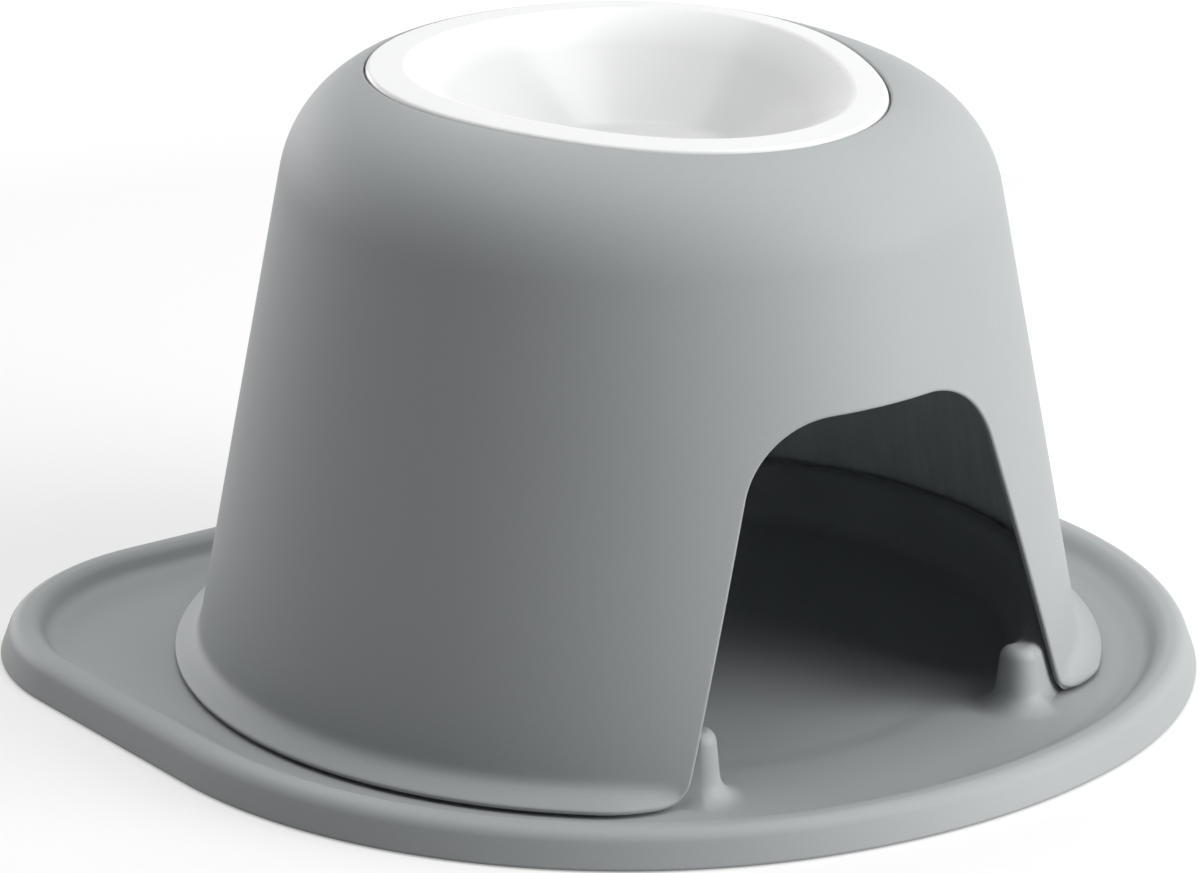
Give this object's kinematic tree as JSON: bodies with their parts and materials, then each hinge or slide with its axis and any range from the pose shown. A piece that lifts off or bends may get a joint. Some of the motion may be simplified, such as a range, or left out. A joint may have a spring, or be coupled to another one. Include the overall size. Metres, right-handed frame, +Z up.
{
  "type": "elevated pet bowl",
  "caption": "Raised feeding bowl for a pet: a dish lies in the top of a hollow conical stand with an arch, which drops over a collar in a shallow spill tray.",
  "frame": {"origin": "centre of the tray's footprint, on the surface that the feet stand on", "axes": "+X is the object's right, across the tray's width; -Y is the front, where the stand has its arch; +Z is up"},
  "size_m": [0.3022, 0.2848, 0.1653],
  "materials": {
    "tray": "fine satin moulded plastic, cool mid grey",
    "stand": "fine satin moulded plastic, cool mid grey",
    "bowl": "glossy white moulded plastic",
    "feet": "dark matte rubber"
  },
  "bodies": {
    "tray": {"tray": "tray", "foot_front": "feet", "foot_left": "feet", "foot_right": "feet", "foot_back_left": "feet", "foot_back_right": "feet"},
    "stand": {"stand": "stand"},
    "bowl": {"bowl": "bowl"}
  },
  "joints": [
    {"name": "stand_lift", "type": "slide", "parent": "tray", "child": "stand", "axis": [0, 0, 1], "range_m": [0, 0.04]},
    {"name": "bowl_lift", "type": "slide", "parent": "stand", "child": "bowl", "axis": [0, -0.0349, 0.9994], "range_m": [0, 0.05]}
  ]
}
